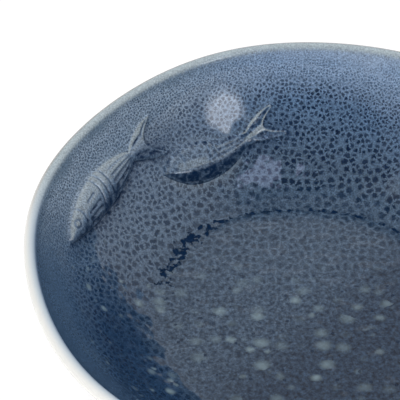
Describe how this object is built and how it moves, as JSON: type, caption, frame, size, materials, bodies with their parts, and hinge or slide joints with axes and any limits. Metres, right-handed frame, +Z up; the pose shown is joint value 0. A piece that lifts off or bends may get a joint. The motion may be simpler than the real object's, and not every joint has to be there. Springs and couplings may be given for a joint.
{
  "type": "salad bowl",
  "caption": "Round hand-formed stoneware salad bowl on a foot ring, glazed white outside and reactive blue inside, with raised fish on the inside wall.",
  "frame": {"origin": "centre of the bowl on the plane that the foot ring stands on", "axes": "+Z up along the bowl's axis; +Y away from the picture's camera; the large fish is on the -X side and the small fish on the +Y side"},
  "size_m": [0.2806, 0.279, 0.0809],
  "materials": {
    "stoneware": "bare fired stoneware, ground flat under the foot",
    "blue_glaze": "glossy blue reactive glaze, mottled, with pale crystals",
    "lip_glaze": "glossy pale grey-green glaze, thin over the lip",
    "white_glaze": "satin white glaze"
  },
  "bodies": {
    "root": {"clay_body": "stoneware", "foot_ring": "stoneware", "inner_glaze": "blue_glaze", "large_fish": "blue_glaze", "small_fish": "blue_glaze", "lip_glaze": "lip_glaze", "outer_glaze": "white_glaze", "base_glaze": "white_glaze"}
  },
  "joints": []
}
